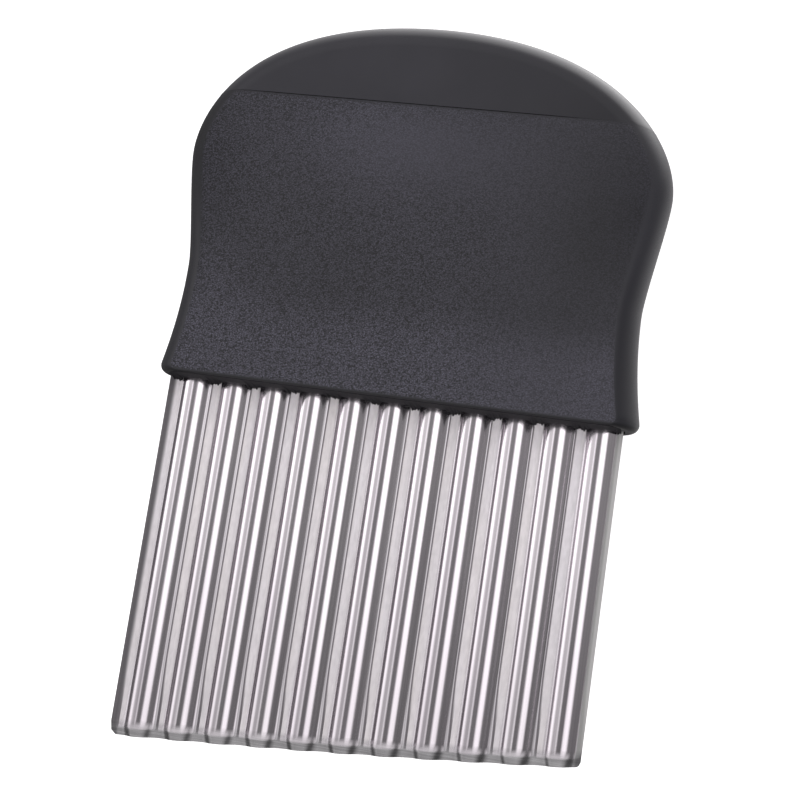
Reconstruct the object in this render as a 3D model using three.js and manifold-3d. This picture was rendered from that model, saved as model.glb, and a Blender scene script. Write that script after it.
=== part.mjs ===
// Crinkle cutter: a corrugated steel blade held in a waisted black handle with a domed palm cap.
// Millimetres. X runs along the cutting edge, +Y towards the palm, +Z out of the front face.
// Every piece is drawn with the lip of the handle at Y = 0 and the middle of the sheet at Z = 0.
import * as THREE from "three";
import { mergeVertices } from "three/addons/utils/BufferGeometryUtils.js";
import Module from "manifold-3d";

const wasm = await Module();
wasm.setup();

// Blade sizes
const WAVE_PITCH = 8;
const WAVE_COUNT = 11;
const WAVE_DEPTH = 1.65;
const LEFT_RUNOUT = 1.5;
const BLADE_SHIFT = -0.5;
const SHEET = 0.9;
const LONG_SIDE = 70.6;
const SHORT_SIDE = 61.75;
const EDGE_BOW = 0.5;
const GRIND_HEIGHT = 1.8;
const EDGE_THICKNESS = 0.15;
const LONG_CORNER_CHAMFER = 0.9;
const SHORT_CORNER_RADIUS = 0.9;

// Handle outline sizes
const LIP_OVERHANG = 2.3;
const WAIST_PINCH = 2.2;
const SHOULDER_FLARE = 0.8;
const WAIST_HEIGHT = 22;
const SHOULDER_HEIGHT = 45.2;
const SEAM_HEIGHT = 57.2;
const HANDLE_HEIGHT = 75;
const HANDLE_THICKNESS = 16;
const LIP_CORNER = 1.6;
const LIP_FILLET = 2;
const FLARE_ANGLE = THREE.MathUtils.degToRad(12);
const LOW_EDGE_BAND = 4.3;
const HIGH_EDGE_BAND = 6;
const LIP_CREASE = 0.8;
const CROWN_LEAN = 1.2;

// How far the handles of the outline curves reach, as shares of the stretch that each curve spans
const FLARE_LEAD = 0.35;
const WAIST_LEAD = 0.27;
const SWELL_LEAD = 0.2;
const CROWN_SIDE_LEAD = 0.36;
const CROWN_TOP_LEAD = 0.76;
const HOLLOW_TOP_LEAD = 0.6;

// Fits and walls
const FIT = 0.3;
const SEAM_GAP = 0.3;
const FACE_WALL = 2.7;
const SIDE_WALL = 4.4;
const SKIRT_WALL = 1.8;

// Holding the tang
const TANG_HEIGHT = 22;
const TANG_SIDE_COVER = 3;
const SHOULDER_DEPTH = 2.5;
const SHOULDER_FILLET = 1.5;
const FILL_STANDOUT = 0.3;
const FILL_INSET = 0.2;
const WING_INSET = 2.2;
const FLANGE_COVER = 1.7;
const JAW_HEIGHT = 34;
const STOP_LEDGE = 3.3;
const PIN_RADIUS = 1.5;
const PIN_HEIGHT = 12;
const PIN_SPACING = 3 * WAVE_PITCH;

// Palm cap fastening
const SKIRT_DEPTH = 6;
const CORE_CORNER = 2.4;
const POST_WIDTH = 10;
const POST_THICKNESS = 4;
const POST_SPACING = 44;
const POST_ENGAGEMENT = 9.5;

// Sizes that follow from the ones above
const BLADE_HALF = (WAVE_PITCH * WAVE_COUNT + LEFT_RUNOUT) / 2;
const BLADE_LEFT = BLADE_SHIFT - BLADE_HALF;
const BLADE_RIGHT = BLADE_SHIFT + BLADE_HALF;
const FIRST_TROUGH = BLADE_LEFT + LEFT_RUNOUT;
const MIDDLE_CREST = FIRST_TROUGH + (WAVE_PITCH * WAVE_COUNT) / 2;
const LIP_HALF = BLADE_HALF + LIP_OVERHANG;
const WAIST_HALF = LIP_HALF - WAIST_PINCH;
const SHOULDER_HALF = LIP_HALF + SHOULDER_FLARE;
const HALF_THICKNESS = HANDLE_THICKNESS / 2;
const WAVE_RADIUS = ((WAVE_PITCH / 4) ** 2 + (WAVE_DEPTH / 2) ** 2) / WAVE_DEPTH;
const WAVE_SWING = Math.asin(WAVE_PITCH / 4 / WAVE_RADIUS);
const POCKET_HALF = WAIST_HALF - SIDE_WALL;
const POCKET_DEPTH = HALF_THICKNESS - FACE_WALL;
const POCKET_TOP = JAW_HEIGHT + FIT;
const JAW_HALF = POCKET_HALF - FIT;
const JAW_DEPTH = POCKET_DEPTH - FIT;
const SHEET_REACH = (WAVE_DEPTH + SHEET) / 2;
const FLANGE_HALF = BLADE_HALF - WING_INSET;
const FLANGE_DEPTH = SHEET_REACH + FLANGE_COVER;
const FLANGE_TOP = SHOULDER_DEPTH + FIT;
const TANG_HALF = JAW_HALF - TANG_SIDE_COVER;
const CORE_HALF = POCKET_HALF - STOP_LEDGE;
const FAR = 4 * HANDLE_HEIGHT;
const CUT_MARGIN = 1;

// Materials
const steel = new THREE.MeshStandardMaterial({ color: 0xc9cbcf, roughness: 0.22, metalness: 1 });
const pinSteel = new THREE.MeshStandardMaterial({ color: 0xa9abb0, roughness: 0.35, metalness: 1 });
const grainedBlack = new THREE.MeshStandardMaterial({ color: 0x1c1c20, roughness: 0.62, metalness: 0 });
const smoothBlack = new THREE.MeshStandardMaterial({ color: 0x17171a, roughness: 0.4, metalness: 0 });
const jawBlack = new THREE.MeshStandardMaterial({ color: 0x121214, roughness: 0.5, metalness: 0 });

// Solids are joined and cut as closed triangle bodies.
function solid(geometry) {
  const bare = geometry.index ? geometry.toNonIndexed() : geometry;
  bare.deleteAttribute("normal");
  bare.deleteAttribute("uv");
  const closed = mergeVertices(bare, 1e-5);
  const vertProperties = new Float32Array(closed.attributes.position.array);
  const triVerts = new Uint32Array(closed.index.array);
  return new wasm.Manifold(new wasm.Mesh({ numProp: 3, vertProperties, triVerts }));
}

function named(name, body, material) {
  const mesh = body.getMesh();
  const geometry = new THREE.BufferGeometry();
  geometry.setAttribute("position", new THREE.BufferAttribute(new Float32Array(mesh.vertProperties), 3));
  geometry.setIndex(new THREE.BufferAttribute(new Uint32Array(mesh.triVerts), 1));
  geometry.computeVertexNormals();
  const piece = new THREE.Mesh(geometry, material);
  piece.name = name;
  return piece;
}

// A straight block between two heights, centred on X and Z unless a centre is given.
function block(halfWidth, halfDepth, bottom, top, centreX = 0, centreZ = 0) {
  const box = new THREE.BoxGeometry(2 * halfWidth, top - bottom, 2 * halfDepth);
  return solid(box.translate(centreX, (bottom + top) / 2, centreZ));
}

// A flat outline drawn in X and Y, given thickness through Z on both sides of the sheet.
function plate(outline, halfDepth) {
  const options = { depth: 2 * halfDepth, bevelEnabled: false, curveSegments: 10 };
  return solid(new THREE.ExtrudeGeometry(outline, options).translate(0, 0, -halfDepth));
}

// A cross-section drawn in X and Z, drawn out along Y.
function column(section, bottom, top) {
  const options = { depth: top - bottom, bevelEnabled: false, curveSegments: 6 };
  return solid(new THREE.ExtrudeGeometry(section, options).rotateX(Math.PI / 2).translate(0, top, 0));
}

// Closed rings of equal length skinned one to the next, with both ends closed.
// place() gives a ring point's position in the plane of its end face.
function loft(rings, place) {
  const count = rings[0].length;
  const last = (rings.length - 1) * count;
  const index = [];
  for (let start = 0; start < last; start += count) {
    for (let i = 0; i < count; i += 1) {
      const a = start + i;
      const b = start + ((i + 1) % count);
      index.push(a, b, b + count, a, b + count, a + count);
    }
  }
  for (const [a, b, c] of THREE.ShapeUtils.triangulateShape(rings[0].map(place), [])) {
    index.push(a, c, b);
  }
  for (const [a, b, c] of THREE.ShapeUtils.triangulateShape(rings.at(-1).map(place), [])) {
    index.push(last + a, last + b, last + c);
  }
  const geometry = new THREE.BufferGeometry().setFromPoints(rings.flat());
  geometry.setIndex(index);
  return solid(geometry);
}

// The corrugation is a chain of equal arcs, trough and crest by turns.
// Arc 0 is the first trough, a little inside the left edge of the blade, and the right edge of the
// blade lies in the last trough. The line runs one arc past both.
// waveLine() follows the arcs at a distance from the middle of the sheet, to the front if positive.
function waveLine(distance) {
  const steps = 8;
  const line = [];
  for (let arc = -1; arc <= 2 * WAVE_COUNT + 1; arc += 1) {
    const turn = Math.abs(arc) % 2 === 0 ? -1 : 1;
    const centreX = FIRST_TROUGH + (arc * WAVE_PITCH) / 2;
    const centreZ = turn * (WAVE_DEPTH / 2 - WAVE_RADIUS);
    const radius = WAVE_RADIUS + turn * distance;
    for (let step = line.length === 0 ? 0 : 1; step <= steps; step += 1) {
      const angle = WAVE_SWING * ((2 * step) / steps - 1);
      const x = centreX + radius * Math.sin(angle);
      line.push(new THREE.Vector2(x, centreZ + turn * radius * Math.cos(angle)));
    }
  }
  return line;
}

// Height of the slanted, slightly bowed cutting edge below the lip at a place along the blade.
function edgeHeight(x) {
  const share = (x - BLADE_LEFT) / (BLADE_RIGHT - BLADE_LEFT);
  const bow = 4 * EDGE_BOW * share * (1 - share);
  return -(THREE.MathUtils.lerp(LONG_SIDE, SHORT_SIDE, share) + bow);
}

// Corrugated blade: a wavy sheet up to the tang top, ground away from the front along the edge and
// sheared to its width.
function makeBlade() {
  const half = SHEET / 2;
  const ring = (frontDistance, height) => {
    const outline = [...waveLine(frontDistance), ...waveLine(-half).reverse()];
    return outline.map((p) => new THREE.Vector3(p.x, height(p.x), p.y));
  };
  const edge = ring(-half + EDGE_THICKNESS, edgeHeight);
  const grindLine = ring(half, (x) => edgeHeight(x) + GRIND_HEIGHT);
  const tangTop = ring(half, () => TANG_HEIGHT);
  const sheet = loft([edge, grindLine, tangTop], (p) => new THREE.Vector2(p.z, p.x));
  const pinHoles = pinPlaces().map((x) => pinBody(x, PIN_RADIUS + FIT, FAR));
  const cuts = [...shears(), ...tangNotches(), ...cornerCuts(), ...pinHoles];
  return cuts.reduce((body, cut) => body.subtract(cut), sheet);
}

function shears() {
  return [BLADE_LEFT - FAR, BLADE_RIGHT + FAR].map((x) => block(FAR, FAR, -FAR, FAR, x));
}

// The sheet steps in above the lip, so that its shoulders carry the cutting force.
function tangNotches() {
  return [-1, 1].map((side) => {
    const notch = new THREE.Shape();
    notch.moveTo(side * FAR, SHOULDER_DEPTH);
    notch.lineTo(side * (TANG_HALF + SHOULDER_FILLET), SHOULDER_DEPTH);
    const corner = side * TANG_HALF;
    notch.quadraticCurveTo(corner, SHOULDER_DEPTH, corner, SHOULDER_DEPTH + SHOULDER_FILLET);
    notch.lineTo(corner, FAR);
    notch.lineTo(side * FAR, FAR);
    return plate(notch, HALF_THICKNESS);
  });
}

// The long corner of the edge is clipped and the short one is rounded.
function cornerCuts() {
  const longY = edgeHeight(BLADE_LEFT);
  const clipReach = LONG_CORNER_CHAMFER + CUT_MARGIN;
  const clip = new THREE.Shape();
  clip.moveTo(BLADE_LEFT - CUT_MARGIN, longY - CUT_MARGIN);
  clip.lineTo(BLADE_LEFT + clipReach, longY - CUT_MARGIN);
  clip.lineTo(BLADE_LEFT - CUT_MARGIN, longY + clipReach);
  const shortY = edgeHeight(BLADE_RIGHT);
  const roundStart = BLADE_RIGHT - SHORT_CORNER_RADIUS;
  const round = new THREE.Shape();
  round.moveTo(BLADE_RIGHT + CUT_MARGIN, shortY - CUT_MARGIN);
  round.lineTo(BLADE_RIGHT + CUT_MARGIN, shortY + SHORT_CORNER_RADIUS);
  round.lineTo(BLADE_RIGHT, shortY + SHORT_CORNER_RADIUS);
  round.quadraticCurveTo(BLADE_RIGHT, shortY, roundStart, edgeHeight(roundStart));
  round.lineTo(roundStart, shortY - CUT_MARGIN);
  return [plate(clip, HALF_THICKNESS), plate(round, HALF_THICKNESS)];
}

// Three pins cross the tang on wave crests.
function pinPlaces() {
  return [-PIN_SPACING, 0, PIN_SPACING].map((x) => MIDDLE_CREST + x);
}

function pinBody(x, radius, length) {
  const rod = new THREE.CylinderGeometry(radius, radius, length, 24);
  return solid(rod.rotateX(Math.PI / 2).translate(x, PIN_HEIGHT, 0));
}

// Right half of the handle outline, from the lip to the top of the dome.
// Each place carries the direction it draws in along, away from the middle plane.
function handleSide() {
  const cornerX = LIP_HALF - LIP_CORNER;
  const out = new THREE.Vector2(Math.cos(FLARE_ANGLE), Math.sin(FLARE_ANGLE));
  const flareStart = new THREE.Vector2(cornerX, LIP_CORNER).addScaledVector(out, LIP_CORNER);
  const along = new THREE.Vector2(-out.y, out.x);
  const rise = SHOULDER_HEIGHT - WAIST_HEIGHT;
  const dome = HANDLE_HEIGHT - SHOULDER_HEIGHT;
  const at = (x, y) => new THREE.Vector2(x, y);
  const flare = new THREE.CubicBezierCurve(
    flareStart,
    flareStart.clone().addScaledVector(along, FLARE_LEAD * WAIST_HEIGHT),
    at(WAIST_HALF, (1 - WAIST_LEAD) * WAIST_HEIGHT),
    at(WAIST_HALF, WAIST_HEIGHT),
  );
  const swell = new THREE.CubicBezierCurve(
    at(WAIST_HALF, WAIST_HEIGHT),
    at(WAIST_HALF, WAIST_HEIGHT + SWELL_LEAD * rise),
    at(SHOULDER_HALF, SHOULDER_HEIGHT - SWELL_LEAD * rise),
    at(SHOULDER_HALF, SHOULDER_HEIGHT),
  );
  const crown = new THREE.CubicBezierCurve(
    at(SHOULDER_HALF, SHOULDER_HEIGHT),
    at(SHOULDER_HALF, SHOULDER_HEIGHT + CROWN_SIDE_LEAD * dome),
    at(CROWN_TOP_LEAD * SHOULDER_HALF, HANDLE_HEIGHT),
    at(0, HANDLE_HEIGHT),
  );
  const places = [];
  const cornerSteps = 5;
  for (let step = 0; step < cornerSteps; step += 1) {
    const angle = -Math.PI / 2 + ((Math.PI / 2 + FLARE_ANGLE) * step) / cornerSteps;
    const point = at(cornerX + LIP_CORNER * Math.cos(angle), LIP_CORNER + LIP_CORNER * Math.sin(angle));
    places.push({ point, pull: at(1, Math.min(0, Math.sin(angle))), lip: true });
  }
  for (const [curve, steps] of [[flare, 8], [swell, 9]]) {
    for (let step = 0; step < steps; step += 1) {
      places.push({ point: curve.getPoint(step / steps), pull: at(1, 0), lip: false });
    }
  }
  const crownSteps = 24;
  for (let step = 0; step <= crownSteps; step += 1) {
    const tangent = crown.getTangent(step / crownSteps);
    places.push({ point: crown.getPoint(step / crownSteps), pull: at(tangent.y, -tangent.x), lip: false });
  }
  return places;
}

// How far the side wall has drawn in at a distance from the middle plane: nothing there and the whole
// edge band at the face. Under the palm the wall is half an ellipse that runs into the face without an
// edge; a higher power leaves a crease towards the lip.
function wallInset(z, height) {
  const towardsTop = THREE.MathUtils.smoothstep(height, WAIST_HEIGHT, HANDLE_HEIGHT);
  const towardsShoulder = THREE.MathUtils.smoothstep(height, 0, SHOULDER_HEIGHT);
  const band = THREE.MathUtils.lerp(LOW_EDGE_BAND, HIGH_EDGE_BAND, towardsTop);
  const power = THREE.MathUtils.lerp(LIP_CREASE, 0.5, towardsShoulder);
  const left = Math.max(0, 1 - (z / HALF_THICKNESS) ** 2);
  return band * (1 - left ** power);
}

// The underside of the lip only rounds over close to the faces.
function lipInset(z) {
  const past = THREE.MathUtils.clamp(Math.abs(z) - (HALF_THICKNESS - LIP_FILLET), 0, LIP_FILLET);
  return LIP_FILLET - Math.sqrt(LIP_FILLET ** 2 - past ** 2);
}

// The top of the dome stands a little left of the middle of the lip.
function crownLean(height) {
  return -CROWN_LEAN * THREE.MathUtils.smoothstep(height, SHOULDER_HEIGHT, HANDLE_HEIGHT);
}

// Whole outer form of the handle, body and cap together, in layers through its thickness.
function handleForm() {
  const right = handleSide();
  const left = right.slice(0, -1).reverse().map(({ point, pull, lip }) => ({
    point: new THREE.Vector2(-point.x, point.y),
    pull: new THREE.Vector2(-pull.x, pull.y),
    lip,
  }));
  const outline = [...right, ...left];
  const levels = [];
  const steps = 8;
  for (let step = -steps; step <= steps; step += 1) {
    levels.push(HALF_THICKNESS * Math.sin((Math.PI / 2) * (step / steps)));
  }
  const layer = (z) => outline.map(({ point, pull, lip }) => {
    const side = wallInset(z, point.y);
    const rise = lip ? lipInset(z) : side;
    const y = point.y - pull.y * rise;
    return new THREE.Vector3(point.x - pull.x * side + crownLean(y), y, z);
  });
  return loft(levels.map(layer), (p) => new THREE.Vector2(p.x, p.y));
}

// Rounded opening of the hollow in the upper body, seen along Y.
function coreSection(halfWidth, halfDepth) {
  const corner = Math.min(CORE_CORNER, halfDepth / 2);
  const section = new THREE.Shape();
  section.moveTo(-halfWidth + corner, -halfDepth);
  section.lineTo(halfWidth - corner, -halfDepth);
  section.quadraticCurveTo(halfWidth, -halfDepth, halfWidth, -halfDepth + corner);
  section.lineTo(halfWidth, halfDepth - corner);
  section.quadraticCurveTo(halfWidth, halfDepth, halfWidth - corner, halfDepth);
  section.lineTo(-halfWidth + corner, halfDepth);
  section.quadraticCurveTo(-halfWidth, halfDepth, -halfWidth, halfDepth - corner);
  section.lineTo(-halfWidth, -halfDepth + corner);
  section.quadraticCurveTo(-halfWidth, -halfDepth, -halfWidth + corner, -halfDepth);
  return section;
}

// Lower handle: a sleeve with a stepped pocket for the jaws below and an open hollow above.
function makeHandleBody(form) {
  const aboveSeam = block(FAR, FAR, SEAM_HEIGHT - SEAM_GAP / 2, FAR);
  const flangeRecess = block(FLANGE_HALF + FIT, FLANGE_DEPTH + FIT, -FAR, FLANGE_TOP + FIT);
  const bladeSlot = block(BLADE_HALF + FIT, SHEET_REACH + FIT, -FAR, FLANGE_TOP + FIT, BLADE_SHIFT);
  const jawPocket = block(POCKET_HALF, POCKET_DEPTH, -FAR, POCKET_TOP);
  const hollow = column(coreSection(CORE_HALF, POCKET_DEPTH), 0, FAR);
  const cuts = [aboveSeam, flangeRecess, bladeSlot, jawPocket, hollow];
  return cuts.reduce((body, cut) => body.subtract(cut), form);
}

// Palm cap: dome with a skirt that plugs the hollow, and two posts that reach the jaws.
function makePalmCap(form) {
  const dome = form.subtract(block(FAR, FAR, -FAR, SEAM_HEIGHT + SEAM_GAP / 2));
  const skirtHalf = CORE_HALF - FIT;
  const skirtDepth = POCKET_DEPTH - FIT;
  const skirtBottom = SEAM_HEIGHT - SKIRT_DEPTH;
  const skirt = column(coreSection(skirtHalf, skirtDepth), skirtBottom, SEAM_HEIGHT + 2 * SEAM_GAP);
  const hollowHalf = skirtHalf - SKIRT_WALL;
  const hollowDepth = skirtDepth - SKIRT_WALL;
  const hollow = plate(capHollow(hollowHalf, skirtBottom - CUT_MARGIN), hollowDepth);
  const postBottom = JAW_HEIGHT - POST_ENGAGEMENT;
  const ceiling = SEAM_HEIGHT + (HANDLE_HEIGHT - SEAM_HEIGHT) / 2;
  let cap = dome.add(skirt).subtract(hollow);
  for (const x of postPlaces()) {
    const web = block(POST_WIDTH / 2, skirtDepth - SKIRT_WALL / 2, skirtBottom, ceiling, x);
    const post = block(POST_WIDTH / 2, POST_THICKNESS / 2, postBottom, skirtBottom + CUT_MARGIN, x);
    cap = cap.add(web).add(post);
  }
  return cap;
}

// The hollow in the cap follows the dome and draws straight out through the skirt.
function capHollow(halfWidth, bottom) {
  const spring = SEAM_HEIGHT + SEAM_GAP;
  const top = HANDLE_HEIGHT - 2 * FACE_WALL;
  const hollow = new THREE.Shape();
  hollow.moveTo(-halfWidth, bottom);
  hollow.lineTo(halfWidth, bottom);
  hollow.lineTo(halfWidth, spring);
  const lead = HOLLOW_TOP_LEAD * halfWidth;
  const middle = (spring + top) / 2;
  hollow.bezierCurveTo(halfWidth, middle, lead, top, 0, top);
  hollow.bezierCurveTo(-lead, top, -halfWidth, middle, -halfWidth, spring);
  return hollow;
}

function postPlaces() {
  return [-POST_SPACING / 2, POST_SPACING / 2];
}

// What one jaw leaves to the sheet and to the other jaw: beside the tang, and above it.
function farSide(front) {
  const towards = front ? 1 : -1;
  const line = waveLine(towards * (SHEET / 2 + FIT));
  const section = new THREE.Shape(line);
  section.lineTo(line.at(-1).x, -towards * FAR);
  section.lineTo(line[0].x, -towards * FAR);
  const besideTang = column(section, -FAR, TANG_HEIGHT + FIT);
  const aboveTang = block(FAR, FAR, TANG_HEIGHT, FAR, 0, -towards * (FAR - FIT / 2));
  return [besideTang, aboveTang];
}

// Half of the block that grips the tang: wings at the lip that back the blade nearly to its sides, a
// grip in the pocket with sockets on top, and a fill that stands out of the lip in the troughs.
function makeJaw(front) {
  const wings = block(FLANGE_HALF, FLANGE_DEPTH, 0, FLANGE_TOP);
  const grip = block(JAW_HALF, JAW_DEPTH, 0, JAW_HEIGHT);
  const fill = block(FLANGE_HALF, WAVE_DEPTH / 2 - FILL_INSET, -FILL_STANDOUT, FLANGE_TOP / 2);
  const socketBottom = JAW_HEIGHT - POST_ENGAGEMENT - FIT;
  const socket = (x) => block(POST_WIDTH / 2 + FIT, POST_THICKNESS / 2 + FIT, socketBottom, FAR, x);
  const cuts = [
    ...farSide(front),
    ...pinPlaces().map((x) => pinBody(x, PIN_RADIUS + FIT, FAR)),
    ...postPlaces().map(socket),
  ];
  return cuts.reduce((body, cut) => body.subtract(cut), wings.add(grip).add(fill));
}

const form = handleForm();
const cutter = new THREE.Group();
cutter.name = "crinkle_cutter";
cutter.add(named("blade", makeBlade(), steel));
cutter.add(named("handle_body", makeHandleBody(form), grainedBlack));
cutter.add(named("palm_cap", makePalmCap(form), smoothBlack));
cutter.add(named("tang_jaw_front", makeJaw(true), jawBlack));
cutter.add(named("tang_jaw_rear", makeJaw(false), jawBlack));
["tang_pin_left", "tang_pin_middle", "tang_pin_right"].forEach((name, i) => {
  cutter.add(named(name, pinBody(pinPlaces()[i], PIN_RADIUS, 2 * (JAW_DEPTH - FIT / 2)), pinSteel));
});

// The cutter lies on its back: centred in X and Y, with the rear face at Z = 0.
const reach = new THREE.Box3().setFromObject(cutter);
const middle = reach.getCenter(new THREE.Vector3());
cutter.position.set(-middle.x, -middle.y, -reach.min.z);

const root = new THREE.Group();
root.add(cutter);
export default root;
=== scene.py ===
# %% [markdown]
# A crinkle cutter lies on its back: a corrugated steel blade in a black handle with a domed palm cap.
# The imported solids come in first as a fixed frame. Everything else is measured from them, in metres.

# %% Load the frame
import bpy
import numpy as np
from mathutils import Matrix, Vector


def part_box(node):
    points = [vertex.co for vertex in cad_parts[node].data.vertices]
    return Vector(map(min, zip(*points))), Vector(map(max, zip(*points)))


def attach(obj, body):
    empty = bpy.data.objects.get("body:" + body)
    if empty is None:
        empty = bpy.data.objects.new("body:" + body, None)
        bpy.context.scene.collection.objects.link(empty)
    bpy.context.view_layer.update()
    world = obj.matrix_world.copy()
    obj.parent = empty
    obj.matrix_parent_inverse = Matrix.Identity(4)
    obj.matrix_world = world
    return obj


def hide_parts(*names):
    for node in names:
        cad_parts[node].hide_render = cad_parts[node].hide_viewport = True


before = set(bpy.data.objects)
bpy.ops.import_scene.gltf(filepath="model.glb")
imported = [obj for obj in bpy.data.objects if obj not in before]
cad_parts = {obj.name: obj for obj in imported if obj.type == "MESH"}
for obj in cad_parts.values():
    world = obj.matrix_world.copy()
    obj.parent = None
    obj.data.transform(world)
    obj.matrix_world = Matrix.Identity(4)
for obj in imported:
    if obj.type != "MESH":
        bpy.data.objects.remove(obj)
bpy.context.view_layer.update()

MM = 0.001
lip_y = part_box("handle_body")[0].y
sheet_z = (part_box("blade")[0].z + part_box("blade")[1].z) / 2
print("lip at", round(lip_y / MM, 2), "mm, middle of the sheet at", round(sheet_z / MM, 2), "mm")


# %% [markdown]
# The camera stands low on the right, close to the object, so the corrugation fans out a little.
# It could be set by eye, but its place was solved from the straight lines of the corrugation, with the
# lip of the handle as zero height and the middle of the sheet as zero depth, because lines that fan out
# fix a camera well. The three directions are the camera's own axes.

# %% Camera
PHOTO_PIXELS = 800
FOCAL_PIXELS = 1386.1
SENSOR = 36.0
CAMERA_PLACE = (51.76, -33.04, 259.87)
ACROSS = Vector((0.97423, 0.14854, -0.16970))
UPWARD = Vector((-0.12311, 0.98074, 0.15168))
BACKWARD = Vector((0.18896, -0.12688, 0.97375))


def tool_point(x, y, z):
    """A place in millimetres from the middle of the lip becomes a place in the frame, in metres."""
    return Vector((x * MM, lip_y + y * MM, sheet_z + z * MM))


camera_data = bpy.data.cameras.new("camera")
camera_data.sensor_width = SENSOR
camera_data.lens = FOCAL_PIXELS / PHOTO_PIXELS * SENSOR
camera_data.clip_start = 0.01
camera = bpy.data.objects.new("camera", camera_data)
turn = Matrix((ACROSS, UPWARD, BACKWARD)).transposed().to_4x4()
camera.matrix_world = Matrix.Translation(tool_point(*CAMERA_PLACE)) @ turn
bpy.context.scene.collection.objects.link(camera)
bpy.context.scene.camera = camera
print("lens", round(camera_data.lens, 1), "mm")


# %% [markdown]
# Every new piece is a grid of points worked out at once. Blender could also model it step by step with
# modifiers, but a formula keeps each size exact. Two helpers serve all pieces: one numbers the quads of
# a grid, the other takes points in millimetres from the lip, merges those that meet at a pole or a
# corner, marks edges sharper than a given angle, and counts edges that are open or wrongly turned.

# %% Mesh helper
import bmesh

SHARP_DEGREES = 35.0
MERGE = 0.0005


def grid_quads(rows, columns, close_rows=False, close_columns=False):
    """Corner numbers of all quads of a grid whose points are counted row by row."""
    i = np.arange(rows if close_rows else rows - 1)
    j = np.arange(columns if close_columns else columns - 1)
    i, j = np.meshgrid(i, j, indexing="ij")
    up = (i + 1) % rows
    along = (j + 1) % columns
    corners = (i * columns + j, i * columns + along, up * columns + along, up * columns + j)
    return np.stack(corners, axis=-1).reshape(-1, 4)


def make_piece(name, points, quads, extra_faces=(), sharp_degrees=SHARP_DEGREES, merge=MERGE):
    """Points in millimetres from the lip and faces by number become one closed, smooth-shaded object."""
    placed = np.asarray(points, float).reshape(-1, 3) * MM + np.array([0.0, lip_y, sheet_z])
    faces = quads.tolist() + [face.tolist() for face in extra_faces]
    mesh = bpy.data.meshes.new(name)
    mesh.from_pydata(placed, [], faces)
    work = bmesh.new()
    work.from_mesh(mesh)
    bmesh.ops.remove_doubles(work, verts=work.verts, dist=merge * MM)
    bmesh.ops.dissolve_degenerate(work, edges=work.edges, dist=merge * MM)
    open_edges = sum(1 for edge in work.edges if not edge.is_contiguous)
    volume = work.calc_volume(signed=True)
    work.to_mesh(mesh)
    work.free()
    mesh.shade_smooth()
    mesh.set_sharp_from_angle(angle=np.radians(sharp_degrees))
    piece = bpy.data.objects.new(name, mesh)
    bpy.context.scene.collection.objects.link(piece)
    print(name, len(mesh.polygons), "faces,", open_edges, "open edges,", round(volume * 1e6, 2), "cm3")
    return piece


print("mesh helpers ready")


# %% [markdown]
# The blade is a stainless sheet pressed into even waves. A sine curve would be too pointed at the
# crests, and the press really leaves equal arcs, so the wave is a chain of arcs, trough and crest by
# turns, that meet on the flanks. Their radius follows from the pitch and the depth of the wave.

# %% Wave of the sheet
PITCH = 8.0
WAVES = 11
DEPTH = 1.65
SHEET = 0.9
LEFT_RUNOUT = 1.5
BLADE_SHIFT = -0.5
BLADE_HALF = (PITCH * WAVES + LEFT_RUNOUT) / 2
BLADE_LEFT = BLADE_SHIFT - BLADE_HALF
BLADE_RIGHT = BLADE_SHIFT + BLADE_HALF
FIRST_TROUGH = BLADE_LEFT + LEFT_RUNOUT
ARC_RADIUS = ((PITCH / 4) ** 2 + (DEPTH / 2) ** 2) / DEPTH
ARC_SWING = np.arcsin(PITCH / 4 / ARC_RADIUS)


def wave(s, distance):
    """Place on the sheet seen from its edge. s counts arcs from the first trough, so whole even numbers
    are troughs and odd ones crests. Within an arc the angle grows evenly with s, and the point stands
    on the arc, moved along its normal by distance, to the front if positive."""
    arc = np.round(s)
    side = np.where(arc % 2 == 0, -1.0, 1.0)
    angle = (s - arc) * 2 * ARC_SWING
    radius = ARC_RADIUS + side * distance
    x = FIRST_TROUGH + arc * PITCH / 2 + radius * np.sin(angle)
    z = side * (DEPTH / 2 - ARC_RADIUS) + side * radius * np.cos(angle)
    return x, z


def left_end(distance):
    """The count of arcs at which the sheet is sheared off on the left: still in the first trough if its
    arc reaches that far, and otherwise on the crest before it."""
    trough = ARC_RADIUS - distance
    crest = ARC_RADIUS + distance
    in_trough = -np.arcsin(np.clip(LEFT_RUNOUT / trough, 0, 1))
    on_crest = np.arcsin(np.clip((PITCH / 2 - LEFT_RUNOUT) / crest, 0, 1))
    reaches = trough * np.sin(ARC_SWING) >= LEFT_RUNOUT
    return np.where(reaches, in_trough, on_crest) / (2 * ARC_SWING) - np.where(reaches, 0, 1)


print("arc radius", round(ARC_RADIUS, 3), "mm, flank", round(np.degrees(ARC_SWING), 1), "degrees")


# %% [markdown]
# The cutting edge is not square to the waves: the left side of the blade is longer than the right.
# One corner is clipped and the other rounded. The sheet could be cut to this line with a boolean, but
# a formula for the height of the edge lets the rows of the grid follow it without odd faces.

# %% Outline of the blade
LONG_SIDE = 70.6
SHORT_SIDE = 61.75
EDGE_BOW = 0.5
CORNER = 0.9


def blade_end(x):
    """Height of the cutting edge: a slanted line with a slight bow, lifted by a 45 degree clip at the
    long corner and by a round one at the short corner."""
    share = np.clip((x - BLADE_LEFT) / (BLADE_RIGHT - BLADE_LEFT), 0, 1)
    line = -(LONG_SIDE + (SHORT_SIDE - LONG_SIDE) * share + 4 * EDGE_BOW * share * (1 - share))
    clip = np.clip(CORNER - (x - BLADE_LEFT), 0, CORNER)
    into_round = np.clip(x - (BLADE_RIGHT - CORNER), 0, CORNER)
    rounding = CORNER - np.sqrt(CORNER**2 - into_round**2)
    return line + clip + rounding


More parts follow.
